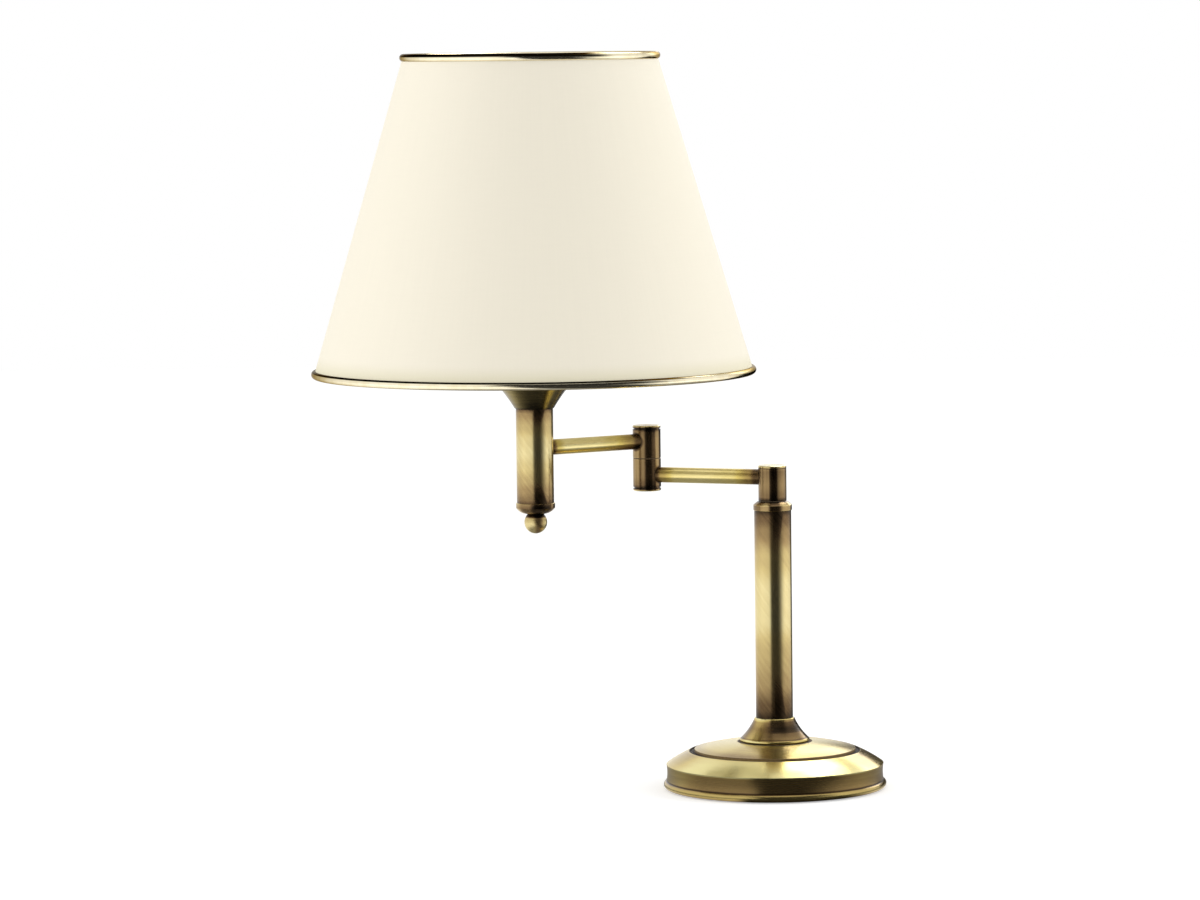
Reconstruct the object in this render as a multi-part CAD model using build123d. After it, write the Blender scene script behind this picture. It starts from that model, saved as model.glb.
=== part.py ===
from build123d import *
import os
from math import atan2, cos, degrees, hypot, radians, sin, sqrt

# Swing-arm table lamp with a conical shade: two hollow arms that turn about upright pivots.
# Millimetres, Z up, origin on the table under the middle of the column.

# Fits
slip = 0.05                  # radial gap of a piece pushed or screwed onto another
running = 0.06               # radial gap of a pivot that turns in its bore
overrun = 2.0                # how far a cut runs past the face it opens

# Rest pose
arm_length = 92.0            # pivot axis to pivot axis, the same for both arms
lower_heading = 158.2        # degrees from +X to the lower arm
upper_heading = 213.6        # degrees from +X to the upper arm

# Base shell
base_d = 153.0               # across the rolled bead
foot_gap = 0.8               # table to the metal edge
bead_r = 2.6                 # section of the rolled bead
bead_proud = 1.9             # how far the bead stands outside the skirt
skirt_h = 11.3               # bead to the edge of the shoulder
skirt_cove = 0.5             # hollow of the skirt
shoulder_w = 16.2            # edge of the shoulder to the groove
shoulder_rise = 9.2
shoulder_crown = 0.5
groove_w = 3.2
groove_depth = 1.2
dome_step = 2.4              # edge of the inner dome above the groove floor
dome_rise = 4.9
dome_crown = 0.7
base_wall = 1.2
seat_margin = 1.0            # flat seat outside the bead of the bell

# Base weight and pad
pad_t = 1.8
pad_inset = 6.0              # edge of the pad inside the bead
weight_gap = 1.4             # weight to the inside of the skirt
weight_h = 12.2
boss_foot_d = 90.0
boss_top_d = 44.0
pocket_d = 60.0
pocket_depth = 16.0
channel_w = 11.0

# Tie rod through the column
tie_d = 10.0
tie_bore = 7.0
tie_proud = 1.3              # tie tube below its nut
tie_thread = 10.0            # how far the tie tube runs into the collar
tie_nut_af = 14.0
tie_nut_h = 4.0
tie_washer_d = 20.0
tie_washer_t = 1.5

# Cord inlet and terminal block
bush_bore = 6.6
bush_sleeve_d = 8.6
bush_flange_d = 10.2
bush_flange_t = 1.6
bush_lip_d = 9.0
bush_lip_t = 1.2
bush_lip_gap = 0.4
terminal_l = 13.0
terminal_w = 16.0
terminal_h = 13.6
terminal_offset = 12.0       # column axis to the near face

# Column
bell_bead_d = 47.9           # across the round bead at the foot
bell_bead_r = 1.3
bell_foot_inset = 0.55       # foot of the flare inside the bead
bell_top_d = 27.5
bell_lip = 0.4               # bevel at the top edge
bell_h = 16.4
bell_hollow = 0.85           # hollow of the flare
bell_recess_d = 34.0
bell_recess_h = 6.0
column_d = 25.4
column_wall = 1.2
column_h = 142.9             # bare tube between the bell and the collar
column_socket = 4.0          # tube below the top of the bell
collar_d = 26.5
collar_band_h = 3.7
collar_shoulder_h = 2.6
collar_top_d = 19.8
collar_crown = 0.15
collar_edge_r = 0.4
collar_spigot_h = 8.0

# Knuckles at both pivots
barrel_d = 19.3
barrel_edge_r = 0.3
cavity_d = 13.5
floor_t = 3.6
friction_t = 0.4
friction_d = 18.7
nipple_d = 8.0
nipple_bore = 5.6
nipple_proud = 0.3           # nipple past its nut
nipple_gap = 0.2             # tie tube to the lower end of the nipple
nut_af = 11.0
nut_h = 2.8
spring_d = 12.0
spring_t = 0.6
washer_gap = 0.3             # washer bores to the nipple
knuckle_arm_h = 11.4         # friction face of an elbow barrel to the arm
knuckle_h = 19.7             # elbow barrel without its cap
swivel_arm_h = 15.8          # friction face of the column barrel to the arm
swivel_h = 22.0              # column barrel without its cap
cap_t = 1.8
cap_edge_r = 0.9
knuckle_neck_t = 1.0         # groove under an elbow cap
swivel_neck_t = 0.3          # groove under the cap on the column barrel
cap_neck_depth = 0.8
cap_spigot_h = 2.0

# Arms
arm_d = 10.7
arm_wall = 1.0
arm_seat = 7.5               # barrel axis to the end of the arm
tee_seat = 5.6               # head axis to the end of the upper arm
lead_hole_d = 6.4            # way for the lead from an arm to a barrel

# Head
head_tube_d = 25.4
head_tube_wall = 1.2
head_rise = 27.5             # upper arm to the top of the head tube
head_drop = 37.2             # upper arm to the bottom of the head tube
tee_d = 18.5
tee_h = 24.0
tee_thread = 6.0             # depth of the holes at both ends of the tee
head_nipple_proud = 5.0      # nipple above the floor of the cup
end_cap_d = 26.8
end_cap_band_h = 3.4
end_cap_h = 7.5
end_cap_foot_d = 12.0
end_cap_crown = 1.1
end_cap_spigot_h = 5.0
end_cap_edge_r = 0.4
stud_d = 6.0
stud_depth = 8.0             # stud into the ball
ball_d = 15.6
ball_cut = 2.0               # flat on the top of the ball

# Cup under the shade
cup_foot_d = 27.0
cup_rim_d = 55.4
cup_h = 19.0
cup_hollow = 0.6
cup_wall = 1.0
cup_floor_t = 1.2
cup_spigot_h = 2.0

# Lampholder
holder_foot_d = 20.0
holder_foot_h = 3.0
holder_floor_t = 4.0
holder_room_d = 16.0         # floor of the terminal room
holder_room_h = 9.5
holder_ledge_d = 28.0
holder_ledge_h = 12.0
holder_d = 37.0
holder_taper_h = 10.0
holder_cap_h = 18.0
holder_wall = 1.6
core_h = 12.0
skirt_d = 39.5
skirt_length = 38.0
skirt_room = 0.1             # skirt bore outside the core
skirt_bore = 30.4
skirt_lip_d = 28.8
skirt_lip_h = 3.0
screw_shell_d = 27.9
screw_shell_t = 0.5
screw_shell_h = 26.0
contact_w = 5.0
contact_t = 0.5
contact_foot = 5.0
contact_ramp = 2.0
contact_pad = 5.0
contact_rise = 3.5

# Shade
shade_bottom_d = 297.6       # through the middle of the lower hoop
shade_top_d = 171.6          # through the middle of the upper hoop
shade_h = 213.7              # hoop to hoop
shade_lift = 24.9            # top of the head tube to the lower hoop
shade_t = 0.8
trim_d = 5.2
hoop_d = 2.6
hoop_gap = 0.45              # hoop to the inside of its bead
fitter_lift = 11.0           # lower hoop to the middle of the fitter ring
fitter_d = 56.0
fitter_t = 3.0
spoke_d = 2.8
spoke_count = 3
spoke_heading = 90.0         # degrees from +X to the first spoke at rest
ring_d = 50.0
ring_h = 5.5
ring_lip_d = 54.0
ring_lip_h = 1.5

# Bulb
bulb_d = 60.0
bulb_length = 108.0
bulb_glass_t = 0.8
bulb_neck_d = 25.0
bulb_neck_start = 16.5       # tip of the bulb to the lower end of the glass
bulb_neck_top = 27.0         # tip of the bulb to the end of the straight neck
bulb_blend = 48.0            # degrees below the equator where the neck meets the globe
bulb_cap_d = 26.2
bulb_cap_t = 0.5
bulb_cap_start = 5.5         # tip of the bulb to the lower edge of the cap
bulb_cap_taper = 1.5
bulb_cap_end = 25.5
bulb_foot_d = 23.0
insulator_top = 7.5
tip_d = 9.6
tip_h = 1.5

# Leads
lead_d = 3.4
lead_bend = 3.6
lead_base_bend = 5.0
lead_drop = 5.6              # tie tube to the level part of the lead in the base

# Radii that several pieces share
base_r = base_d / 2
shell_r = base_r - bead_proud
inner_r = shell_r - skirt_cove - base_wall
tie_hole_r = tie_d / 2 + slip
nipple_r = nipple_d / 2
cavity_r = cavity_d / 2
barrel_r = barrel_d / 2
arm_hole_r = arm_d / 2 + slip
head_bore_r = head_tube_d / 2 - head_tube_wall

# Heights in the base and the column
bead_top = foot_gap + 2 * bead_r
skirt_top = bead_top + skirt_h
groove_rim = skirt_top + shoulder_rise
groove_floor = groove_rim - groove_depth
dome_edge = groove_floor + dome_step
base_top = dome_edge + dome_rise
groove_r = shell_r - shoulder_w
dome_r = groove_r - groove_w
seat_r = bell_bead_d / 2 + seat_margin
pocket_roof = pad_t + pocket_depth
tie_foot = pocket_roof - tie_washer_t - tie_nut_h - tie_proud
bell_top = base_top + bell_h
column_top = bell_top + column_h
collar_top = column_top + collar_band_h + collar_shoulder_h
tie_top = column_top - collar_spigot_h + tie_thread

# Heights at the pivots and the arms
swivel_foot = collar_top + friction_t
lower_arm_z = swivel_foot + swivel_arm_h
swivel_nipple_top = swivel_foot + floor_t + spring_t + nut_h + nipple_proud
seam = lower_arm_z + knuckle_arm_h
upper_foot = seam + friction_t
upper_arm_z = upper_foot + knuckle_arm_h
elbow_nipple_foot = seam - floor_t - nut_h - nipple_proud
elbow_nipple_top = upper_foot + floor_t + spring_t + nut_h + nipple_proud

# Heights in the head
head_top = upper_arm_z + head_rise
head_foot = upper_arm_z - head_drop
tee_top = upper_arm_z + tee_h / 2
tee_foot = upper_arm_z - tee_h / 2
end_cap_foot = head_foot - end_cap_h
ball_z = end_cap_foot + ball_cut - ball_d / 2
holder_z = head_top + cup_floor_t
core_z = holder_z + holder_ledge_h
core_top = core_z + core_h
skirt_z = holder_z + holder_cap_h
bulb_z = core_top + contact_rise
shade_foot = head_top + shade_lift
fitter_z = shade_foot + fitter_lift

# Places of the moving bodies
lower_frame = Rot(0, 0, lower_heading)
elbow_x = arm_length * cos(radians(lower_heading))
elbow_y = arm_length * sin(radians(lower_heading))
upper_frame = Pos(elbow_x, elbow_y, 0) * Rot(0, 0, upper_heading)

pieces = {}


def turned(*corners):
    """Solid of revolution about Z from (radius, height) corners; a third value rounds the corner."""
    radii = [corner[2] if len(corner) > 2 else 0 for corner in corners]
    outline = FilletPolyline(*[corner[:2] for corner in corners], radius=radii, close=True)
    return spun(outline)


def spun(outline):
    """Solid of revolution about Z from a closed outline of edges."""
    return revolve(Plane.XZ * make_face(outline), Axis.Z)


def ring(outer_r, inner_r_, z, height):
    return turned((inner_r_, z), (outer_r, z), (outer_r, z + height), (inner_r_, z + height))


def bar_x(radius, start, end, z):
    """Round bar along X at a height."""
    return Pos(start, 0, z) * extrude(Plane.YZ * Circle(radius), end - start)


def hex_nut(across_flats, bore_r, z, height):
    blank = RegularPolygon(across_flats / 2, 6, major_radius=False) - Circle(bore_r)
    return Pos(0, 0, z) * extrude(blank, height)


def barrel(height, arm_h):
    """Hollow pivot barrel on its friction face, with the way for an arm towards +X."""
    bore = nipple_r + running
    body = turned(
        (bore, 0), (barrel_r, 0, barrel_edge_r), (barrel_r, height),
        (cavity_r, height), (cavity_r, floor_t), (bore, floor_t),
    )
    body -= bar_x(arm_hole_r, arm_seat, barrel_r + overrun, arm_h)
    body -= bar_x(lead_hole_d / 2, 0, arm_seat + overrun, arm_h)
    return body


def barrel_cap(z, neck_t):
    """Cap with a groove under its rim and a spigot that closes the barrel below it."""
    spigot_r = cavity_r - slip
    neck_r = barrel_r - cap_neck_depth
    top = neck_t + cap_t
    cap = turned(
        (0, -cap_spigot_h), (spigot_r, -cap_spigot_h), (spigot_r, 0), (neck_r, 0),
        (neck_r, neck_t), (barrel_r, neck_t), (barrel_r, top, cap_edge_r), (0, top),
    )
    return Pos(0, 0, z) * cap


def arm_tube(end, z):
    """Tube along X from the seat in a barrel to an end."""
    bore = bar_x(arm_d / 2 - arm_wall, arm_seat - overrun, end + overrun, z)
    return bar_x(arm_d / 2, arm_seat, end, z) - bore


def lead(*corners, bend):
    """Round cable along a path whose corners are rounded."""
    path = FilletPolyline(*corners, radius=bend)
    section = Plane(origin=path @ 0, z_dir=path % 0) * Circle(lead_d / 2)
    return sweep(section, path)


# Base shell
bead_r_centre = base_r - bead_r
bead_z = foot_gap + bead_r
bead_end = bead_z + sqrt(bead_r**2 - (shell_r - bead_r_centre)**2)
shoulder_foot = (shell_r, skirt_top)
rim = (groove_r, groove_rim)
dome_foot = (dome_r, dome_edge)
dome_seat = (seat_r, base_top)
inside_top = base_top - base_wall
shell_outline = [
    Line((inner_r, foot_gap), (bead_r_centre, foot_gap)),
    ThreePointArc((bead_r_centre, foot_gap), (base_r, bead_z), (shell_r, bead_end)),
    SagittaArc((shell_r, bead_end), shoulder_foot, skirt_cove),
    SagittaArc(shoulder_foot, rim, -shoulder_crown),
    Polyline(rim, (groove_r, groove_floor), (dome_r, groove_floor), dome_foot),
    SagittaArc(dome_foot, dome_seat, -dome_crown),
    Polyline(
        dome_seat, (tie_hole_r, base_top), (tie_hole_r, inside_top), (seat_r, inside_top),
        (groove_r, groove_floor - base_wall), (inner_r, skirt_top - base_wall), (inner_r, foot_gap),
    ),
]
bush_z = (bead_top + skirt_top) / 2
bush_hole = extrude(Plane.XZ * Pos(0, bush_z) * Circle(bush_sleeve_d / 2 + slip), -(base_r + overrun))
pieces["base_shell"] = spun(shell_outline) - bush_hole

# Base weight with a pocket for the nut and the terminals and a channel to the cord inlet
weight_r = inner_r - weight_gap
weight_top = pad_t + weight_h
weight = turned(
    (tie_hole_r, pocket_roof), (pocket_d / 2, pocket_roof), (pocket_d / 2, pad_t), (weight_r, pad_t),
    (weight_r, weight_top), (boss_foot_d / 2, weight_top), (boss_top_d / 2, inside_top),
    (tie_hole_r, inside_top),
)
channel = Pos(0, 0, pad_t - overrun) * Box(
    channel_w, weight_r + overrun, pocket_depth + overrun, align=(Align.CENTER, Align.MIN, Align.MIN)
)
channel -= Cylinder(pocket_d / 2 - overrun, pocket_roof + overrun)
pieces["base_weight"] = weight - channel
pieces["base_pad"] = Cylinder(base_r - pad_inset, pad_t, align=(Align.CENTER, Align.CENTER, Align.MIN))

# Tie tube with its nut and washer
washer_z = pocket_roof - tie_washer_t
pieces["base_washer"] = ring(tie_washer_d / 2, tie_hole_r, washer_z, tie_washer_t)
pieces["base_nut"] = hex_nut(tie_nut_af, tie_hole_r, washer_z - tie_nut_h, tie_nut_h)
pieces["tie_tube"] = ring(tie_d / 2, tie_bore / 2, tie_foot, tie_top - tie_foot)

# Cord inlet bush, turned about Z and laid along +Y
bush_lip_y = inner_r - bush_lip_gap
bush = turned(
    (bush_bore / 2, bush_lip_y - bush_lip_t), (bush_lip_d / 2, bush_lip_y - bush_lip_t),
    (bush_lip_d / 2, bush_lip_y), (bush_sleeve_d / 2, bush_lip_y), (bush_sleeve_d / 2, shell_r),
    (bush_flange_d / 2, shell_r), (bush_flange_d / 2, shell_r + bush_flange_t, bush_flange_t / 2),
    (bush_bore / 2, shell_r + bush_flange_t),
)
pieces["cord_bush"] = Pos(0, 0, bush_z) * Rot(-90, 0, 0) * bush
pieces["terminal_block"] = Pos(terminal_offset, 0, pocket_roof) * Box(
    terminal_l, terminal_w, terminal_h, align=(Align.MIN, Align.CENTER, Align.MAX)
)

# Bell, column tube and collar
bell_r = bell_bead_d / 2
bell_bead_z = base_top + bell_bead_r
flare_foot_z = bell_bead_z + sqrt(bell_bead_r**2 - (bell_bead_r - bell_foot_inset)**2)
flare_foot = (bell_r - bell_foot_inset, flare_foot_z)
flare_top = (bell_top_d / 2, bell_top - bell_lip)
column_foot = bell_top - column_socket
socket_r = column_d / 2 + slip
recess_top = base_top + bell_recess_h
bell_outline = [
    Polyline(
        (tie_hole_r, recess_top), (bell_recess_d / 2, recess_top), (bell_recess_d / 2, base_top),
        (bell_r - bell_bead_r, base_top),
    ),
    ThreePointArc((bell_r - bell_bead_r, base_top), (bell_r, bell_bead_z), flare_foot),
    SagittaArc(flare_foot, flare_top, bell_hollow),
    Polyline(
        flare_top, (bell_top_d / 2 - bell_lip, bell_top), (socket_r, bell_top), (socket_r, column_foot),
        (tie_hole_r, column_foot), (tie_hole_r, recess_top),
    ),
]
pieces["bell_flare"] = spun(bell_outline)
pieces["column_tube"] = ring(
    column_d / 2, column_d / 2 - column_wall, column_foot, column_top - column_foot
)
spigot_r = column_d / 2 - column_wall - slip
spigot_foot = column_top - collar_spigot_h
band_top = column_top + collar_band_h
nipple_hole_r = nipple_r + slip
collar_outline = [
    FilletPolyline(
        (tie_hole_r, spigot_foot), (spigot_r, spigot_foot), (spigot_r, column_top),
        (collar_d / 2, column_top), (collar_d / 2, band_top), radius=[0, 0, collar_edge_r],
    ),
    SagittaArc((collar_d / 2, band_top), (collar_top_d / 2, collar_top), -collar_crown),
    Polyline(
        (collar_top_d / 2, collar_top), (nipple_hole_r, collar_top), (nipple_hole_r, tie_top),
        (tie_hole_r, tie_top), (tie_hole_r, spigot_foot),
    ),
]
pieces["column_collar"] = spun(collar_outline)

# Pivot on the column
swivel_nipple_foot = tie_top + nipple_gap
pieces["swivel_nipple"] = ring(
    nipple_r, nipple_bore / 2, swivel_nipple_foot, swivel_nipple_top - swivel_nipple_foot
)
spring_z = swivel_foot + floor_t
washer_bore = nipple_r + washer_gap
pieces["swivel_spring_washer"] = ring(spring_d / 2, washer_bore, spring_z, spring_t)
pieces["swivel_nut"] = hex_nut(nut_af, nipple_hole_r, spring_z + spring_t, nut_h)
lead_z = tie_foot - lead_drop
pieces["lead_column"] = lead(
    (terminal_offset, 0, lead_z), (0, 0, lead_z), (0, 0, swivel_nipple_top), bend=lead_base_bend
)

# Lower arm, drawn along +X from the column
lower = {}
lower["swivel_friction_washer"] = ring(friction_d / 2, washer_bore, collar_top, friction_t)
lower["swivel_block"] = Pos(0, 0, swivel_foot) * barrel(swivel_h, swivel_arm_h)
lower["swivel_cap"] = barrel_cap(swivel_foot + swivel_h, swivel_neck_t)
lower["lower_arm_tube"] = arm_tube(arm_length - arm_seat, lower_arm_z)
elbow = Pos(arm_length, 0, 0)
turned_over = elbow * Pos(0, 0, seam) * Rot(0, 180, 0)
lower["elbow_lower_barrel"] = turned_over * barrel(knuckle_h, knuckle_arm_h)
lower["elbow_lower_cap"] = turned_over * barrel_cap(knuckle_h, knuckle_neck_t)
lower["elbow_friction_washer"] = elbow * ring(friction_d / 2, washer_bore, seam, friction_t)
lower["elbow_nipple"] = elbow * ring(
    nipple_r, nipple_bore / 2, elbow_nipple_foot, elbow_nipple_top - elbow_nipple_foot
)
lower["elbow_lower_nut"] = elbow * hex_nut(nut_af, nipple_hole_r, seam - floor_t - nut_h, nut_h)
elbow_spring_z = upper_foot + floor_t
lower["elbow_spring_washer"] = elbow * ring(spring_d / 2, washer_bore, elbow_spring_z, spring_t)
lower["elbow_upper_nut"] = elbow * hex_nut(nut_af, nipple_hole_r, elbow_spring_z + spring_t, nut_h)
lower["lead_lower_arm"] = lead(
    (0, 0, swivel_nipple_top), (0, 0, lower_arm_z),
    (arm_length, 0, lower_arm_z), (arm_length, 0, elbow_nipple_top), bend=lead_bend,
)

# Upper arm, drawn along +X from the elbow
upper = {}
upper["elbow_upper_barrel"] = Pos(0, 0, upper_foot) * barrel(knuckle_h, knuckle_arm_h)
upper["elbow_upper_cap"] = barrel_cap(upper_foot + knuckle_h, knuckle_neck_t)
upper["upper_arm_tube"] = arm_tube(arm_length - tee_seat, upper_arm_z)
upper["lead_upper_arm"] = lead(
    (0, 0, elbow_nipple_top), (0, 0, upper_arm_z),
    (arm_length, 0, upper_arm_z), (arm_length, 0, core_z), bend=lead_bend,
)

# Head, drawn about Z with the arm coming from -X
head = {}
tee = turned(
    (0, tee_foot), (tee_d / 2, tee_foot, barrel_edge_r), (tee_d / 2, tee_top, barrel_edge_r), (0, tee_top)
)
tee -= bar_x(arm_hole_r, -tee_d, -tee_seat, upper_arm_z)
tee -= bar_x(lead_hole_d / 2, -tee_d, 0, upper_arm_z)
lead_hole_r = lead_hole_d / 2
tee -= turned(
    (0, upper_arm_z - lead_hole_r), (lead_hole_r, upper_arm_z - lead_hole_r),
    (lead_hole_r, tee_top - tee_thread), (tie_hole_r, tee_top - tee_thread),
    (tie_hole_r, tee_top + overrun), (0, tee_top + overrun),
)
stud_hole_r = stud_d / 2 + slip
stud_top = tee_foot + tee_thread
stud_foot = end_cap_foot - stud_depth
tee -= Pos(0, 0, stud_top) * Cylinder(
    stud_hole_r, tee_thread + overrun, align=(Align.CENTER, Align.CENTER, Align.MAX)
)
head["head_tee"] = tee
head_tube = ring(head_tube_d / 2, head_bore_r, head_foot, head_top - head_foot)
head["head_tube"] = head_tube - bar_x(arm_hole_r, -head_tube_d, 0, upper_arm_z)
nipple_foot = tee_top - tee_thread
nipple_top = holder_z + head_nipple_proud
head["head_nipple"] = ring(tie_d / 2, tie_bore / 2, nipple_foot, nipple_top - nipple_foot)

# End cap and ball under the head tube
end_spigot_r = head_bore_r - slip
end_band = head_foot - end_cap_band_h
end_outline = [
    SagittaArc((end_cap_foot_d / 2, end_cap_foot), (end_cap_d / 2, end_band), -end_cap_crown),
    FilletPolyline(
        (end_cap_d / 2, end_band), (end_cap_d / 2, head_foot), (end_spigot_r, head_foot),
        (end_spigot_r, head_foot + end_cap_spigot_h), (stud_hole_r, head_foot + end_cap_spigot_h),
        (stud_hole_r, end_cap_foot), radius=[end_cap_edge_r, 0, 0, 0],
    ),
    Line((stud_hole_r, end_cap_foot), (end_cap_foot_d / 2, end_cap_foot)),
]
head["head_end_cap"] = spun(end_outline)
head["finial_stud"] = Pos(0, 0, stud_foot) * Cylinder(
    stud_d / 2, stud_top - stud_foot, align=(Align.CENTER, Align.CENTER, Align.MIN)
)
ball = Pos(0, 0, ball_z) * Sphere(ball_d / 2)
ball -= Pos(0, 0, end_cap_foot) * Box(
    ball_d, ball_d, ball_d, align=(Align.CENTER, Align.CENTER, Align.MIN)
)
ball -= Pos(0, 0, stud_foot) * Cylinder(
    stud_hole_r, stud_depth + overrun, align=(Align.CENTER, Align.CENTER, Align.MIN)
)
head["ball_finial"] = ball

# Spun cup under the shade
cup_rim = head_top + cup_h
cup_outline = [
    Polyline(
        (tie_hole_r, head_top - cup_spigot_h), (end_spigot_r, head_top - cup_spigot_h),
        (end_spigot_r, head_top), (cup_foot_d / 2, head_top),
    ),
    SagittaArc((cup_foot_d / 2, head_top), (cup_rim_d / 2, cup_rim), cup_hollow),
    Line((cup_rim_d / 2, cup_rim), (cup_rim_d / 2 - cup_wall, cup_rim)),
    SagittaArc((cup_rim_d / 2 - cup_wall, cup_rim), (cup_foot_d / 2 - cup_wall, holder_z), -cup_hollow),
    Polyline(
        (cup_foot_d / 2 - cup_wall, holder_z), (tie_hole_r, holder_z), (tie_hole_r, head_top - cup_spigot_h)
    ),
]
head["shade_cup"] = spun(cup_outline)

# Lampholder
holder_bore = holder_d / 2 - holder_wall
holder_cap = turned(
    (tie_hole_r, 0), (holder_foot_d / 2, 0), (holder_foot_d / 2, holder_foot_h),
    (holder_d / 2, holder_taper_h), (holder_d / 2, holder_cap_h), (holder_bore, holder_cap_h),
    (holder_bore, holder_ledge_h), (holder_ledge_d / 2, holder_ledge_h),
    (holder_ledge_d / 2, holder_room_h), (holder_room_d / 2, holder_floor_t), (tie_hole_r, holder_floor_t),
)
head["lampholder_cap"] = Pos(0, 0, holder_z) * holder_cap
core_r = holder_bore - slip
head["lampholder_core"] = Pos(0, 0, core_z) * Cylinder(
    core_r, core_h, align=(Align.CENTER, Align.CENTER, Align.MIN)
)
lip_top = core_top + skirt_lip_h
skirt_room_r = core_r + skirt_room
skirt_top_z = skirt_z + skirt_length
head["lampholder_skirt"] = turned(
    (skirt_room_r, skirt_z), (skirt_d / 2, skirt_z), (skirt_d / 2, skirt_top_z),
    (skirt_bore / 2, skirt_top_z), (skirt_bore / 2, lip_top), (skirt_lip_d / 2, lip_top),
    (skirt_lip_d / 2, core_top), (skirt_room_r, core_top),
)
shell_bore = screw_shell_d / 2 - screw_shell_t
head["lampholder_shell"] = ring(screw_shell_d / 2, shell_bore, core_top, screw_shell_h)
pad_end = contact_pad / 2
ramp_end = -pad_end - contact_ramp
strip = make_face(Polyline(
    (ramp_end - contact_foot, 0), (ramp_end, 0), (-pad_end, contact_rise - contact_t),
    (pad_end, contact_rise - contact_t), (pad_end, contact_rise), (-pad_end - contact_t, contact_rise),
    (ramp_end - contact_t, contact_t), (ramp_end - contact_foot, contact_t), close=True,
))
head["lampholder_contact"] = Pos(0, contact_w / 2, core_top) * extrude(Plane.XZ * strip, contact_w)

# Shade carrier: fitter ring between two ring nuts, spokes and hoops
ring_bore = skirt_d / 2 + slip
fitter_foot = fitter_z - fitter_t / 2
fitter_top = fitter_z + fitter_t / 2
head["shade_fitter_ring"] = ring(fitter_d / 2, ring_bore, fitter_foot, fitter_t)
ring_foot = fitter_foot - ring_h
head["shade_ring_lower"] = turned(
    (ring_bore, ring_foot), (ring_d / 2, ring_foot), (ring_d / 2, fitter_foot - ring_lip_h),
    (ring_lip_d / 2, fitter_foot - ring_lip_h), (ring_lip_d / 2, fitter_foot), (ring_bore, fitter_foot),
)
head["shade_ring_upper"] = ring(ring_d / 2, ring_bore, fitter_top, ring_h)
bottom_r = shade_bottom_d / 2
top_r = shade_top_d / 2
hoop_hole_r = hoop_d / 2 + hoop_gap
slope = degrees(atan2(shade_h, top_r - bottom_r))
slant = hypot(shade_h, top_r - bottom_r)
shade_head = shade_foot + shade_h
head["shade_bottom_hoop"] = Pos(0, 0, shade_foot) * Torus(bottom_r, hoop_d / 2)
head["shade_top_hoop"] = Pos(0, 0, shade_head) * Torus(top_r, hoop_d / 2)


def spoke_bar(radius, heading):
    """Round bar from the middle of the lampholder to the lower hoop."""
    across = Plane(origin=(0, 0, fitter_z), z_dir=(bottom_r, 0, -fitter_lift))
    return Rot(0, 0, heading) * extrude(across * Circle(radius), hypot(bottom_r, fitter_lift))


headings = [spoke_heading - upper_heading + 360 * i / spoke_count for i in range(spoke_count)]
inside_fitter = Pos(0, 0, fitter_z) * Cylinder(fitter_d / 2 + slip, fitter_lift)
inside_hoop = Pos(0, 0, shade_foot) * Cylinder(bottom_r - hoop_hole_r, 3 * fitter_lift)
spokes = [(spoke_bar(spoke_d / 2, heading) - inside_fitter) & inside_hoop for heading in headings]
head["shade_spokes"] = Compound(children=[spoke.solid() for spoke in spokes])


def trim(radius, z, angle):
    """Bead round a hoop, slotted towards the sheet."""
    slot = Rot(0, 0, angle) * Pos(trim_d / 2, 0) * Rectangle(trim_d, shade_t + 2 * slip)
    section = Circle(trim_d / 2) - Circle(hoop_hole_r) - slot
    return revolve(Plane.XZ * (Pos(radius, z) * section), Axis.Z)


bottom_trim = trim(bottom_r, shade_foot, slope)
for heading in headings:
    bottom_trim -= spoke_bar(spoke_d / 2 + slip, heading)
head["shade_bottom_trim"] = bottom_trim
head["shade_top_trim"] = trim(top_r, shade_head, slope + 180)
sheet = Pos((bottom_r + top_r) / 2, (shade_foot + shade_head) / 2) * Rot(0, 0, slope) * Rectangle(
    slant - 2 * hoop_hole_r, shade_t
)
head["shade_cone"] = revolve(Plane.XZ * sheet, Axis.Z)

# Bulb
globe_z = bulb_z + bulb_length - bulb_d / 2


def envelope(grow, foot):
    """Solid of the bulb's outline, moved out by a distance, from a height upwards."""
    neck_r = bulb_neck_d / 2 + grow
    globe_r = bulb_d / 2 + grow
    neck_top = bulb_z + bulb_neck_top
    turn = radians(bulb_blend)
    joint = (globe_r * cos(turn), globe_z - globe_r * sin(turn))
    return spun([
        Polyline((0, foot), (neck_r, foot), (neck_r, neck_top)),
        Spline((neck_r, neck_top), joint, tangents=[(0, 1), (sin(turn), cos(turn))]),
        ThreePointArc(joint, (globe_r, globe_z), (0, globe_z + globe_r)),
        Line((0, globe_z + globe_r), (0, foot)),
    ])


glass_foot = bulb_z + bulb_neck_start
head["bulb_glass"] = envelope(0, glass_foot) - envelope(-bulb_glass_t, glass_foot - overrun)
cap_z = bulb_z + bulb_cap_start
cap_top = bulb_z + bulb_cap_end
cap_r = bulb_cap_d / 2
cap_bore = cap_r - bulb_cap_t
insulator_z = bulb_z + tip_h
insulator_end = bulb_z + insulator_top
foot_r = bulb_foot_d / 2
head["bulb_cap"] = turned(
    (foot_r + slip, cap_z), (cap_r, cap_z + bulb_cap_taper), (cap_r, cap_top),
    (cap_bore, cap_top), (cap_bore, insulator_end), (foot_r + slip, insulator_end),
)
head["bulb_insulator"] = turned(
    (0, insulator_z), (tip_d / 2, insulator_z), (foot_r, cap_z), (foot_r, insulator_end), (0, insulator_end)
)
head["bulb_tip"] = Pos(0, 0, bulb_z) * Cylinder(
    tip_d / 2, tip_h, align=(Align.CENTER, Align.CENTER, Align.MIN)
)

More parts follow.
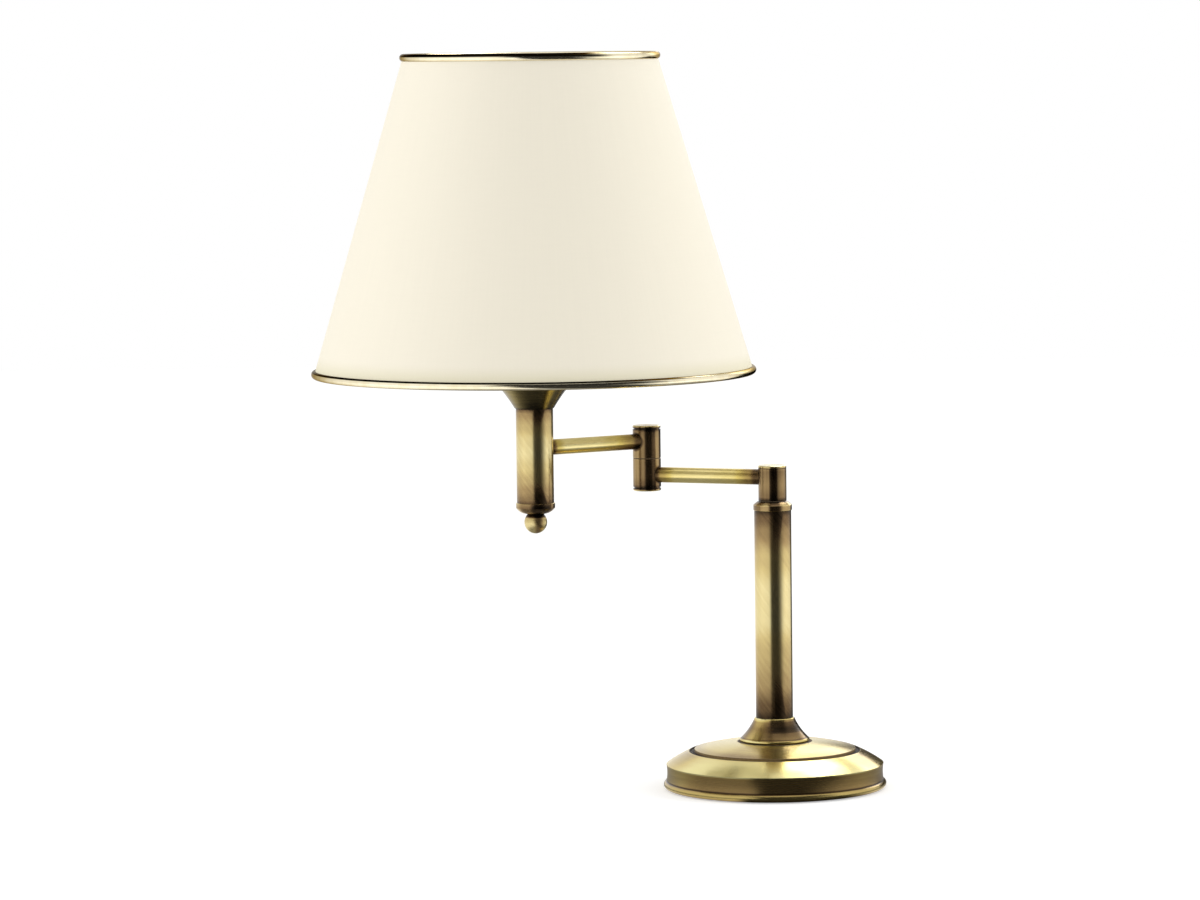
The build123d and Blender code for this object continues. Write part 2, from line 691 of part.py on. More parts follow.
# Everything in the rest pose
for name, piece in lower.items():
    pieces[name] = lower_frame * piece
for name, piece in upper.items():
    pieces[name] = upper_frame * piece
for name, piece in head.items():
    pieces[name] = upper_frame * Pos(arm_length, 0, 0) * piece

os.makedirs("parts", exist_ok=True)
for name, piece in pieces.items():
    export_step(piece, f"parts/{name}.step")
print(len(pieces), "pieces")
print("elbow", round(elbow_x, 3), round(elbow_y, 3), round(seam, 3), "swivel", round(collar_top, 3))
print("shade", round(shade_foot, 3), round(shade_head, 3), "bulb top", round(globe_z + bulb_d / 2, 3))
print("bush", round(bush_z, 3), round(bush_lip_y - bush_lip_t, 3), round(shell_r + bush_flange_t, 3))
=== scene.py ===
import math

import bmesh
import bpy
from mathutils import Matrix, Vector


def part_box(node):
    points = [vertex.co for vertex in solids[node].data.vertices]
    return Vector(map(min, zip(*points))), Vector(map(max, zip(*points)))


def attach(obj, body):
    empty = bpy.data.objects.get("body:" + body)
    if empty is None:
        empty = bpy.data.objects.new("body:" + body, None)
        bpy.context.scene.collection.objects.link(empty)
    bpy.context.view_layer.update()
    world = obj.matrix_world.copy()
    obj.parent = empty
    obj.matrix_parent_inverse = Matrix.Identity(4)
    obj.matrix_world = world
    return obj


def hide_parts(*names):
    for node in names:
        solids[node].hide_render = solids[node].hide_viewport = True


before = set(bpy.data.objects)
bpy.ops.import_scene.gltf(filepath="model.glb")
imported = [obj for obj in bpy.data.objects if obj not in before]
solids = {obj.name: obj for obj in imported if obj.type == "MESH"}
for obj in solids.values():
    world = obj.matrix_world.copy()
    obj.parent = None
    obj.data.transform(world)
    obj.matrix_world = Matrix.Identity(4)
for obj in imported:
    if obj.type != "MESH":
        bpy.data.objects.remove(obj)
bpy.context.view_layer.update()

scene = bpy.context.scene
mm = 0.001
toDegrees = 180 / math.pi
white = (1, 1, 1, 1)


def paint(red, green, blue):  # a screen colour, 0 to 255, as linear light
    return tuple(((part / 255 + 0.055) / 1.055) ** 2.4 for part in (red, green, blue)) + (1,)


def grey(level):
    return (level, level, level, 1)


class Wire:  # a socket of a node tree that can stand in a sum
    def __init__(self, tree, socket=None):
        self.tree = tree
        self.socket = socket

    def node(self, kind, settings=None, inputs=None, output=0):
        made = self.tree.nodes.new("ShaderNode" + kind)
        for key, value in (settings or {}).items():
            if key == "stops":
                ramp = made.color_ramp.elements
                while len(ramp) < len(value):
                    ramp.new(1)
                for stop, (place, colour) in zip(ramp, value):
                    stop.position = place
                    stop.color = colour
            else:
                setattr(made, key, value)
        for key, value in (inputs or {}).items():
            if isinstance(value, Wire):
                self.tree.links.new(value.socket, made.inputs[key])
            else:
                made.inputs[key].default_value = value
        return Wire(self.tree, made.outputs[output] if made.outputs else None)

    def sum(self, operation, first, second=0.0):
        return self.node("Math", {"operation": operation}, {0: first, 1: second})

    def __add__(self, other):
        return self.sum("ADD", self, other)

    def __radd__(self, other):
        return self.sum("ADD", other, self)

    def __sub__(self, other):
        return self.sum("SUBTRACT", self, other)

    def __rsub__(self, other):
        return self.sum("SUBTRACT", other, self)

    def __mul__(self, other):
        return self.sum("MULTIPLY", self, other)

    def __rmul__(self, other):
        return self.sum("MULTIPLY", other, self)

    def __truediv__(self, other):
        return self.sum("DIVIDE", self, other)

    def __rtruediv__(self, other):
        return self.sum("DIVIDE", other, self)

    def __abs__(self):
        return self.sum("ABSOLUTE", self)

    def least(self, other):
        return self.sum("MINIMUM", self, other)

    def most(self, other):
        return self.sum("MAXIMUM", self, other)

    def vector(self, operation, other, output=0):
        return self.node("VectorMath", {"operation": operation}, {0: self, 1: other}, output)

    def dot(self, other):
        return self.vector("DOT_PRODUCT", other, "Value")

    def axes(self, names):  # the parts of a vector
        return [self.node("SeparateXYZ", None, {0: self}, name) for name in names]

    def rise(self, low, high):  # 0 below low, 1 above high, smooth between them
        return self.node("MapRange", {"interpolation_type": "SMOOTHSTEP"}, {"Value": self, 1: low, 2: high})

    def within(self, first, last, soft, lastSoft=None):  # 1 between two values, with soft ends
        lastSoft = soft if lastSoft is None else lastSoft
        inside = self.rise(first - soft, first + soft)
        return inside * (1 - self.rise(last - lastSoft, last + lastSoft))

    def ramp(self, stops, easing="EASE"):
        made = self.node("ValToRGB", {"stops": stops}, {0: self})
        made.socket.node.color_ramp.interpolation = easing
        return made

    def mixed(self, first, second):  # colours, with this wire as the factor
        return self.node("Mix", {"data_type": "RGBA"}, {0: self, 6: first, 7: second}, 2)

    def noise(self, scale, detail=2.0, rough=0.5):
        settings = {"Vector": self, "Scale": scale, "Detail": detail, "Roughness": rough}
        return self.node("TexNoise", None, settings)

    def joined(self, second, third=0.0):
        return self.node("CombineXYZ", None, {0: self, 1: second, 2: third})

    def bump(self, depth, strength=1.0):
        return self.node("Bump", None, {"Height": self, "Distance": depth, "Strength": strength})


def newFinish(name):
    made = bpy.data.materials.new(name)
    made.use_nodes = True
    made.node_tree.nodes.clear()
    return made, Wire(made.node_tree)


def closeFinish(wire, sockets):
    shader = wire.node("BsdfPrincipled", None, sockets)
    wire.node("OutputMaterial", None, {"Surface": shader})


def dress(piece, finish):
    target = solids[piece] if isinstance(piece, str) else piece
    target.data.materials.clear()
    target.data.materials.append(finish)


def middle(node):
    low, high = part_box(node)
    return (low + high) / 2


# camera, fitted to the rims of the shade and the base
view = {"lens": 156.58, "sensor": 36, "farthest": 60, "place": (-0.1177, -3.5593, 0.52461), "pitch": 4.66,
        "roll": 0.68}
cameraData = bpy.data.cameras.new("photoCamera")
cameraData.lens = view["lens"]
cameraData.sensor_width = view["sensor"]
cameraData.clip_end = view["farthest"]
photoCamera = bpy.data.objects.new("photoCamera", cameraData)
scene.collection.objects.link(photoCamera)
tilt = Matrix.Rotation(math.radians(90 - view["pitch"]), 4, "X")
roll = Matrix.Rotation(math.radians(-view["roll"]), 4, "Z")
photoCamera.matrix_world = Matrix.Translation(view["place"]) @ tilt @ roll
scene.camera = photoCamera
scene.view_settings.view_transform = "Standard"
print("camera set")

# studio: white all round for the camera and for reflections, a plain level for everything else
studio = {"ambient": 0.735, "floor": 0.8, "floorGlow": 0.46, "floorSize": 9.0}
sky = bpy.data.worlds.new("studioSky")
scene.world = sky
sky.use_nodes = True
sky.node_tree.nodes.clear()
skyWire = Wire(sky.node_tree)


def seenRays(wire):  # 1 for what the camera sees, straight or in metal and glass
    rays = wire.node("LightPath").socket.node.outputs
    names = ("Is Camera Ray", "Is Glossy Ray", "Is Transmission Ray")
    straight, mirrored, through = (Wire(wire.tree, rays[name]) for name in names)
    return straight.most(mirrored).most(through)


plainSky = skyWire.node("Background", None, {"Color": white, "Strength": studio["ambient"]})
whiteSky = skyWire.node("Background", None, {"Color": white, "Strength": 1.0})
skyMix = skyWire.node("MixShader", None, {0: seenRays(skyWire), 1: plainSky, 2: whiteSky})
skyWire.node("OutputWorld", None, {"Surface": skyMix})


def stagePanel(name, points, faces, finish):
    mesh = bpy.data.meshes.new(name)
    mesh.from_pydata(points, [], faces)
    made = bpy.data.objects.new(name, mesh)
    scene.collection.objects.link(made)
    dress(made, finish)
    return made


floorFinish, floorWire = newFinish("paleFloor")
matte = floorWire.node("BsdfDiffuse", None, {"Color": grey(studio["floor"])})
light = floorWire.node("Emission", None, {"Color": white, "Strength": studio["floorGlow"]})
lit = floorWire.node("AddShader", None, {0: matte, 1: light})
floorMix = floorWire.node("MixShader", None, {0: seenRays(floorWire), 1: matte, 2: lit})
floorWire.node("OutputMaterial", None, {"Surface": floorMix})
half = studio["floorSize"] / 2
floorCorners = [(-half, -half, 0), (half, -half, 0), (half, half, 0), (-half, half, 0)]
stagePanel("studioFloor", floorCorners, [(0, 1, 2, 3)], floorFinish)


def flagCloth(name, spec):  # soft edges, by the angle round the column and by the distance from it
    made, wire = newFinish(name)
    x, y = wire.node("TexCoord", output="Object").axes("XY")
    angle = wire.sum("ARCTAN2", x, 0 - y) * toDegrees
    dark = angle.within(spec["start"], spec["end"], *spec["soft"])
    if "fade" in spec:
        reach = wire.sum("SQRT", x * x + y * y)
        dark = dark * (1 - reach.rise(*spec["fade"]))
    clear = wire.node("BsdfTransparent")
    cloth = wire.node("BsdfDiffuse", None, {"Color": grey(spec["level"])})
    flagMix = wire.node("MixShader", None, {0: dark, 1: clear, 2: cloth})
    wire.node("OutputMaterial", None, {"Surface": flagMix})
    return made


def flag(name, spec):  # bands of cloth round the column, seen in reflections alone
    nearSoft, farSoft = spec["soft"]
    first, last, steps = spec["start"] - nearSoft, spec["end"] + farSoft, flagSteps
    points, faces = [], []
    for band in spec["bands"]:
        base = len(points)
        for step in range(steps + 1):
            turn = math.radians(first + (last - first) * step / steps)
            points += [(math.sin(turn) * reach, -math.cos(turn) * reach, z) for reach, z in band]
        corners = range(base, base + 2 * steps, 2)
        faces += [(i, i + 1, i + 3, i + 2) for i in corners]
    panel = stagePanel(name, points, faces, flagCloth(name + "Cloth", spec))
    for ray in ("camera", "diffuse", "shadow", "transmission", "volume_scatter"):
        setattr(panel, "visible_" + ray, False)


# each flag: from and to an angle, its soft edges there, and its bands, from one (distance, height) to another
flagSteps = 48
lift = 0.6 * mm  # of a flag that lies on the floor
frontFlag = {"start": -20, "end": 50, "soft": (5, 15), "level": 0.04,
             "bands": [((0.066, lift), (0.9, lift))]}
tubeFlag = {"start": -20, "end": 52, "soft": (5, 28), "level": 0.04,
            "bands": [((0.9, lift), (0.9, 0.42))]}
upperFlag = {"start": -30, "end": 66, "soft": (8, 12), "level": 0.03,
             "bands": [((0.9, 0.42), (0.9, 1.5))]}
backFlag = {"start": 132, "end": 172, "soft": (6, 4), "level": 0.012,
            "bands": [((0.3, lift), (0.9, lift)), ((0.9, lift), (0.9, 0.3))]}
greyMat = {"start": -200, "end": 200, "soft": (5, 5), "level": 0.4, "fade": (0.3, 0.46),
           "bands": [((0.08, lift / 2), (0.46, lift / 2))]}
flags = {"frontFlag": frontFlag, "tubeFlag": tubeFlag, "upperFlag": upperFlag, "backFlag": backFlag,
         "greyMat": greyMat}
for name, spec in flags.items():
    flag(name, spec)


def softbox(name, spec, aim):
    data = bpy.data.lights.new(name, "AREA")
    data.shape = "RECTANGLE"
    data.size, data.size_y = spec["size"]
    data.energy = spec["power"]
    made = bpy.data.objects.new(name, data)
    scene.collection.objects.link(made)
    turn, climb = (math.radians(angle) for angle in spec["from"])
    ground = math.cos(climb)
    away = Vector((math.sin(turn) * ground, -math.cos(turn) * ground, math.sin(climb)))
    made.location = Vector(aim) + away * spec["distance"]
    made.rotation_mode = "QUATERNION"
    made.rotation_quaternion = (-away).to_track_quat("-Z", "Y")
    made.visible_glossy = spec["shiny"]
    made.visible_diffuse = not spec["shiny"]  # a lamp lights the cloth or shows in the brass, not both
    made.visible_camera = False


shadeLamps = {  # from is an angle round the lamp and one above the level
    "leftSoftbox": {"from": (-71, 12), "distance": 2.2, "size": (1.1, 1.6), "power": 14.0, "shiny": False},
    "rightSoftbox": {"from": (81, 12), "distance": 2.2, "size": (1.1, 1.6), "power": 13.8, "shiny": False},
}
brassLamps = {
    "topSoftbox": {"from": (160, 56), "distance": 2.0, "size": (0.8, 0.8), "power": 13.0, "shiny": True},
    "backSoftbox": {"from": (155, 26), "distance": 2.0, "size": (1.2, 0.6), "power": 4.2, "shiny": True},
    "rimLight": {"from": (177, 22), "distance": 2.0, "size": (0.18, 0.12), "power": 0.2, "shiny": True},
}
baseTop = (0, 0, 0.03)
for name, spec in shadeLamps.items():
    softbox(name, spec, middle("shade_cone"))
for name, spec in brassLamps.items():
    softbox(name, spec, baseTop)
print("studio set")

# antique brass: gold where the patina wore thin, brown and black where the stain stayed, with painted shade
# and painted reflections laid over it
brassTones = [
    (0.0, paint(234, 221, 168)), (0.25, paint(205, 184, 126)), (0.5, paint(164, 139, 95)),
    (0.75, paint(112, 89, 61)), (1.0, paint(40, 31, 20)),
]
# the arms' tones are lighter and more saturated than the rest: a painted reflection of the cream shade above
# them
armTones = [
    (0.0, paint(252, 237, 172)), (0.25, paint(219, 196, 110)), (0.5, paint(166, 140, 82)),
    (0.75, paint(110, 86, 54)), (1.0, paint(40, 31, 20)),
]
cupTones = [
    (0.0, paint(234, 221, 168)), (0.25, paint(198, 180, 116)), (0.5, paint(150, 134, 82)),
    (0.75, paint(98, 86, 52)), (1.0, paint(36, 31, 17)),
]
baseTones = [
    (0.0, paint(235, 223, 160)), (0.25, paint(213, 191, 118)), (0.5, paint(160, 135, 84)),
    (0.75, paint(112, 89, 59)), (1.0, paint(40, 31, 20)),
]
brush = {"fine": 2300.0, "coarse": 560.0, "stretch": 0.03, "depth": 0.003 * mm, "coarseShare": 0.25,
         "ringSlope": 0.9, "ringTurn": 0.03, "ringGloss": 0.75, "ringWay": 0.25}
patina = {"cloud": 70, "wander": 0.04, "streaks": 0.14, "polish": 0.21, "grooveSoft": 0.3,
          "shareSoft": 0.02, "dull": 0.1, "rough": 0.08, "brushRough": 0.08, "residueDull": 0.85,
          "residueRough": 0.5}
# painted dark reflection on the column and head tube, right of the front
frontShade = {"start": (-10, 2), "narrow": 18, "widen": 26, "soft": 9, "ends": (0.3, 0.9), "depth": 0.95}
# painted shade round each arm where it enters its barrel
entryShade = {"reach": 5.2 * mm, "soft": 4.5 * mm, "from": 5 * mm, "depth": 0.95}
armBrush = 62  # the slope of the strokes on the arms, in degrees
swivelAxis = Vector((0, 0, 0))
elbowAxis = middle("elbow_upper_barrel")
headAxis = middle("head_tube")
lowerArmZ = middle("lower_arm_tube").z
upperArmZ = middle("upper_arm_tube").z


def level(place, z):
    return Vector((place.x, place.y, z))


def strokes(spec, distance, angle, radius):  # fine and coarse brush lines
    if spec["brush"] == "rings":
        across, onward = distance + radius * brush["ringSlope"], angle * brush["ringTurn"]
    else:
        slope = math.radians(spec["brush"])
        arc = angle * spec["radius"]
        across = distance * math.cos(slope) + arc * math.sin(slope)
        onward = arc * math.cos(slope) - distance * math.sin(slope)
    lines = across.joined(onward * brush["stretch"])
    return lines.noise(brush["fine"], 2, 0.6), lines.noise(brush["coarse"], 3, 0.6)


def paintedFrontShade(degrees, off):  # painted dark reflection right of the front, narrow half way up and wider towards the ends
    border = off * off * off * frontShade["widen"] + frontShade["narrow"]
    soft = frontShade["soft"]
    dark = degrees.rise(*frontShade["start"]) * (1 - (degrees - border).rise(-soft, soft))
    return dark * off.rise(*frontShade["ends"]) * frontShade["depth"]


def paintedEntryShade(spot, heart, way):  # painted shade round an arm where it enters
    past = spot.vector("SUBTRACT", heart)
    run = past.dot(way)
    off = past.vector("SUBTRACT", run.joined(run, run).vector("MULTIPLY", way))
    off = off.vector("LENGTH", (0, 0, 0), "Value")
    near = 1 - off.rise(entryShade["reach"], entryShade["reach"] + entryShade["soft"])
    return near * run.rise(0, entryShade["from"]) * entryShade["depth"]


def agedBrass(node, start, end, spec):
    made, wire = newFinish(node + "Brass")
    spot = wire.node("TexCoord", output="Object")
    length = (end - start).length
    along = (end - start).normalized()
    facing = Vector((0, -1, 0)) if abs(along.z) > 0.5 else along.cross(Vector((0, 0, 1)))
    if facing.y > 0:
        facing = -facing  # the seam of the angle lies at the back
    local = spot.vector("SUBTRACT", start)
    distance = local.dot(along)
    left, front = local.dot(along.cross(facing)), local.dot(facing)
    angle = wire.sum("ARCTAN2", left, front)
    degrees = angle * toDegrees
    radius = wire.sum("SQRT", left * left + front * front)
    fine, coarse = strokes(spec, distance, angle, radius)
    cloud = spot.noise(patina["cloud"], 3, 0.55)
    share = distance / length + (cloud - 0.5) * spec.get("wander", patina["wander"])
    stainAndShade = share.ramp([(place, grey(depth)) for place, depth in spec["stainAndShade"]])
    residue = None  # where the stain lies thick and dull
    for inner, outer, depth in spec.get("grooves", ()):  # dark rings, by radius in millimetres
        soft = patina["grooveSoft"]
        ring = radius.rise((inner - soft) * mm, inner * mm)
        ring = ring * (1 - radius.rise(outer * mm, (outer + soft) * mm))
        stainAndShade = stainAndShade.most(ring * depth)
        residue = ring if residue is None else residue.most(ring)
    # painted reflections and painted shade: each band darkens or lightens the brass by the angle from the
    # front
    for first, last, soft, change, *between in spec.get("bands", ()):  # by the angle from the front
        inside = degrees.within(first, last, soft)
        if between:  # and only between two shares of the length
            inside = inside * share.within(*between, patina["shareSoft"])
        stainAndShade = stainAndShade + inside * change
    # the painted dark reflection right of the front
    if "frontShadeWaist" in spec:
        stainAndShade = stainAndShade.most(paintedFrontShade(degrees, abs(distance / length - spec["frontShadeWaist"]) * 2))
    # the painted shade where an arm enters
    if "entry" in spec:
        stainAndShade = stainAndShade.most(paintedEntryShade(spot, *spec["entry"]))
    stainAndShade = (stainAndShade + (coarse - 0.5) * spec.get("streaks", patina["streaks"])).most(0.0).least(1.0)
    metal = 1 - stainAndShade * patina["dull"]
    rough = stainAndShade * patina["rough"] + spec.get("polish", patina["polish"])
    rough = rough + (fine - 0.5) * patina["brushRough"]
    if residue:
        metal, rough = metal - residue * patina["residueDull"], rough + residue * patina["residueRough"]
    closeFinish(wire, {
        "Base Color": stainAndShade.ramp(spec.get("tones", brassTones), "LINEAR"),
        "Metallic": metal,
        "Roughness": rough,
        "Normal": (fine + coarse * brush["coarseShare"]).bump(brush["depth"]),
        "Anisotropic": brush["ringGloss"] if spec["brush"] == "rings" else 0.0,
        "Anisotropic Rotation": brush["ringWay"],
    })
    dress(node, made)


def upright(node, axis, spec):  # a turned piece that stands on its own axis
    low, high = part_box(node)
    agedBrass(node, level(axis, low.z), level(axis, high.z), {**spec, "radius": (high.x - low.x) / 2})


def lying(node, start, end, z, spec):  # an arm, from axis to axis
    low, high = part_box(node)
    tube = {"brush": armBrush, "radius": (high.z - low.z) / 2, "tones": armTones}
    agedBrass(node, level(start, z), level(end, z), {**spec, **tube})


def heading(start, end):
    return (level(end, 0) - level(start, 0)).normalized()


# stain and shade: (share of the length, how dark), patina with painted shade where parts meet; bands: (from,
# to, soft edge, darker by, and from and to a share), painted reflections and painted shade
baseShell = {
    "stainAndShade": [(0.0, 0.55), (0.08, 0.3), (0.14, 0.4), (0.165, 0.95), (0.2, 0.62), (0.48, 0.55),
              (0.505, 0.06), (0.53, 0.06), (0.66, 0.14), (0.79, 0.24), (0.85, 0.4), (0.93, 0.2),
              (1.0, 0.16)],
    "grooves": [(55.3, 58.8, 0.93), (23.4, 25.6, 0.9)],
    "bands": [(-95, -52, 12, -0.22, 0.18, 0.49), (44, 80, 10, -0.1, 0.18, 0.49),
              (58, 95, 8, 0.25, 0.5, 0.8), (-56, -6, 12, -0.16, 0.5, 0.8),
              (-95, -64, 10, 0.22, 0.5, 0.8), (-46, -12, 12, 0.15, 0.84, 1.2)],
    "brush": "rings", "streaks": 0.16, "wander": 0.015, "polish": 0.22, "tones": baseTones,
}
upright("base_shell", swivelAxis, baseShell)
bellFlare = {
    "stainAndShade": [(0.0, 0.5), (0.05, 0.2), (0.13, 0.3), (0.17, 0.88), (0.22, 0.68), (0.35, 0.7), (0.6, 0.82),
              (0.85, 0.7), (0.94, 0.42), (1.0, 0.1)],
    "bands": [(-66, -26, 14, -0.32), (-10, 78, 10, 0.16, 0.45, 1.0)],
    "brush": "rings", "wander": 0.03, "streaks": 0.25, "polish": 0.2, "tones": baseTones,
}
upright("bell_flare", swivelAxis, bellFlare)
columnTube = {
    "stainAndShade": [(0.0, 1.0), (0.03, 0.95), (0.076, 0.75), (0.197, 0.46), (0.343, 0.34), (0.489, 0.12),
              (0.635, 0.12), (0.78, 0.3), (0.9, 0.58), (0.96, 0.75), (1.0, 0.95)],
    "brush": 50, "wander": 0.04, "frontShadeWaist": 0.53, "streaks": 0.24,
}
upright("column_tube", swivelAxis, columnTube)
columnCollar = {
    "stainAndShade": [(0.0, 0.7), (0.555, 0.7), (0.565, 0.15), (0.6, 0.5), (0.79, 0.5), (0.815, 0.25), (0.85, 0.4),
              (0.94, 0.5), (1.0, 0.98)],
    "bands": [(-90, -40, 12, 0.2), (-12, 24, 7, 0.35)],
    "brush": "rings", "wander": 0.01, "polish": 0.17,
}
upright("column_collar", swivelAxis, columnCollar)
toElbow = heading(swivelAxis, elbowAxis)
toHead = heading(elbowAxis, headAxis)
armBarrel = {"brush": 90, "streaks": 0.3, "polish": 0.18}  # what the three barrels share
# painted dark reflections across the elbow barrels, by the angle from the front
elbowShadeBands = [(-34, -9, 5, 0.1), (-9, 37, 5, 0.27), (60, 90, 5, 0.3)]


def barrel(node, axis, armZ, way, spec):
    upright(node, axis, {**armBarrel, **spec, "entry": (level(axis, armZ), way)})


# the dark foot, where the block sits on the collar, is painted shade
swivelBlock = {
    "stainAndShade": [(0.0, 1.0), (0.05, 0.9), (0.12, 0.7), (0.5, 0.6), (0.92, 0.68), (1.0, 0.6)],
    "bands": [(-14, 17, 4, 0.3)],
}
barrel("swivel_block", swivelAxis, lowerArmZ, toElbow, swivelBlock)
lowerBarrel = {
    "stainAndShade": [(0.0, 0.85), (0.1, 0.68), (0.4, 0.57), (0.75, 0.56), (0.95, 0.56), (1.0, 0.5)],
    "bands": elbowShadeBands,
}
barrel("elbow_lower_barrel", elbowAxis, lowerArmZ, -toElbow, lowerBarrel)
upperBarrel = {
    "stainAndShade": [(0.0, 0.5), (0.06, 0.56), (0.6, 0.55), (0.9, 0.62), (1.0, 0.85)],
    "bands": elbowShadeBands,
}
barrel("elbow_upper_barrel", elbowAxis, upperArmZ, toHead, upperBarrel)
swivelCap = {
    "stainAndShade": [(0.0, 0.9), (0.57, 0.98), (0.62, 0.5), (0.8, 0.2), (0.95, 0.02), (1.0, 0.02)],
    "brush": "rings", "wander": 0.0, "polish": 0.16,
}
upright("swivel_cap", swivelAxis, swivelCap)
upperCap = {
    "stainAndShade": [(0.0, 0.9), (0.62, 1.0), (0.72, 0.9), (0.8, 0.5), (0.88, 0.12), (0.95, 0.08), (1.0, 0.3)],
    "bands": [(-30, 40, 12, 0.1), (52, 80, 6, -0.2)],
    "brush": "rings", "wander": 0.0, "polish": 0.15,
}
upright("elbow_upper_cap", elbowAxis, upperCap)
lowerCap = {**upperCap, "stainAndShade": [(1 - place, depth) for place, depth in reversed(upperCap["stainAndShade"])]}
upright("elbow_lower_cap", elbowAxis, lowerCap)
lowerArm = {
    "stainAndShade": [(0.0, 0.9), (0.12, 0.85), (0.17, 0.5), (0.3, 0.16), (0.55, 0.08), (0.75, 0.12), (0.86, 0.45),
              (0.91, 0.9)],
}
lying("lower_arm_tube", swivelAxis, elbowAxis, lowerArmZ, lowerArm)
upperArm = {
    "stainAndShade": [(0.0, 0.95), (0.11, 0.82), (0.17, 0.48), (0.33, 0.18), (0.5, 0.04), (0.75, 0.02),
              (0.82, 0.25), (0.87, 0.85)],
    "bands": [(-120, -24, 14, 0.24)],
}
lying("upper_arm_tube", elbowAxis, headAxis, upperArmZ, upperArm)
headTube = {
    "stainAndShade": [(0.0, 0.85), (0.05, 0.66), (0.13, 0.52), (0.246, 0.38), (0.389, 0.22), (0.532, 0.12),
              (0.675, 0.17), (0.817, 0.34), (0.942, 0.52), (0.98, 0.7), (1.0, 0.98)],
    "brush": 50, "frontShadeWaist": 0.52, "wander": 0.06, "streaks": 0.24,
}
upright("head_tube", headAxis, headTube)
endCap = {
    "stainAndShade": [(0.0, 0.85), (0.06, 0.6), (0.31, 0.62), (0.34, 0.75), (0.57, 0.6), (0.6, 0.2), (0.63, 0.95),
              (1.0, 0.95)],
    "bands": [(-100, -52, 12, -0.2), (-12, 50, 8, 0.32)],
    "brush": "rings", "wander": 0.01, "polish": 0.18,
}
upright("head_end_cap", headAxis, endCap)
ballFinial = {
    "stainAndShade": [(0.0, 0.2), (0.45, 0.14), (0.78, 0.25), (0.88, 0.9), (1.0, 1.0)],
    "bands": [(0, 40, 14, 0.4)],
    "brush": 40, "polish": 0.33,
}
upright("ball_finial", headAxis, ballFinial)
shadeCup = {
    "stainAndShade": [(0.0, 0.95), (0.1, 0.98), (0.14, 0.85), (0.5, 0.74), (0.8, 0.74), (0.95, 0.8), (1.0, 0.5)],
    "bands": [(-74, -40, 12, -0.14), (-20, 18, 14, 0.16), (26, 40, 5, -0.42)],
    "brush": "rings", "streaks": 0.2, "polish": 0.2, "tones": cupTones,
}
upright("shade_cup", headAxis, shadeCup)
print("antique brass dressed")

sharpEdge = 32  # degrees between faces


def newPiece(name, mesh, body, node):
    mesh.shade_smooth()
    mesh.set_sharp_from_angle(angle=math.radians(sharpEdge))
    made = bpy.data.objects.new(name, mesh)
    scene.collection.objects.link(made)
    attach(made, body)
    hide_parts(node)
    return made


# cream shade: one sheet, rolled into a cone and lapped at the back
shadeSheet = {"thick": 0.45 * mm, "lap": 12 * mm, "lift": 0.46 * mm, "ease": 18 * mm, "seam": 90,
              "turns": 220, "rows": 16, "rimBand": 0.8 * mm}


def rimRadius(node, axis, z):  # outside of a node's edge at that height
    points = [vertex.co for vertex in solids[node].data.vertices]
    edge = [point for point in points if abs(point.z - z) < shadeSheet["rimBand"]]
    return max(math.hypot(point.x - axis.x, point.y - axis.y) for point in edge)


def rollSheet():
    low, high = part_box("shade_cone")
    foot, top = (rimRadius("shade_cone", headAxis, z) for z in (low.z, high.z))
    lapAngle, easeAngle = shadeSheet["lap"] / foot, shadeSheet["ease"] / foot
    whole, turns, rows = 2 * math.pi + lapAngle, shadeSheet["turns"], shadeSheet["rows"]
    shape = bmesh.new()
    sides = []
    for turn in range(turns + 1):
        along = whole * turn / turns
        rise = min(max((along - 2 * math.pi + easeAngle) / easeAngle, 0), 1)
        lifted = shadeSheet["lift"] * rise * rise * (3 - 2 * rise)
        angle = math.radians(shadeSheet["seam"]) - lapAngle / 2 + along
        strip = []
        for depth in (0, shadeSheet["thick"]):
            for row in range(rows + 1):
                share = row / rows
                radius = foot + (top - foot) * share + lifted - depth
                place = (headAxis.x + radius * math.cos(angle), headAxis.y + radius * math.sin(angle))
                strip.append(shape.verts.new((*place, low.z + (high.z - low.z) * share)))
        sides.append(strip[:rows + 1] + strip[:rows:-1])  # a closed loop: up the outside, down the inside
    for first, second in zip(sides, sides[1:]):
        for i in range(len(first)):
            j = (i + 1) % len(first)
            shape.faces.new((first[i], second[i], second[j], first[j]))
    for row in range(rows):
        for strip in (sides[0], sides[-1]):
            shape.faces.new((strip[row], strip[row + 1], strip[-row - 2], strip[-row - 1]))
    bmesh.ops.recalc_face_normals(shape, faces=shape.faces)
    mesh = bpy.data.meshes.new("shadeSheet")
    shape.to_mesh(mesh)
    shape.free()
    slant = math.hypot(foot - top, high.z - low.z)
    reach = foot * slant / (foot - top)  # the cut is a sector of a ring with this outer radius
    spread = foot * whole / reach / 2
    made = newPiece("shadeSheet", mesh, "upper_arm", "shade_cone")
    spread * (reach ** 2 - (reach - slant) ** 2)
    return made


# slub, weft and warp: how fine they are to a radian round the shade and to a metre of its height
cloth = {"outside": paint(253, 246, 227), "lining": paint(246, 243, 234), "foot": paint(238, 231, 200),
         "slub": (90, 9), "weft": (6, 900), "warp": (260, 25), "slubShade": 0.6, "weftShade": 0.4,
         "shadeRange": (0.3, 0.7), "threadDark": 0.985, "footHeight": 0.06, "footDepth": 0.8,
         "edgeTurn": 0.2, "rough": 0.66, "slubRough": 0.16, "weftRelief": 0.6, "slubRelief": 0.3,
         "depth": 0.012 * mm, "relief": 0.5, "gloss": 0.3, "sheen": 0.05, "sheenRough": 0.5}


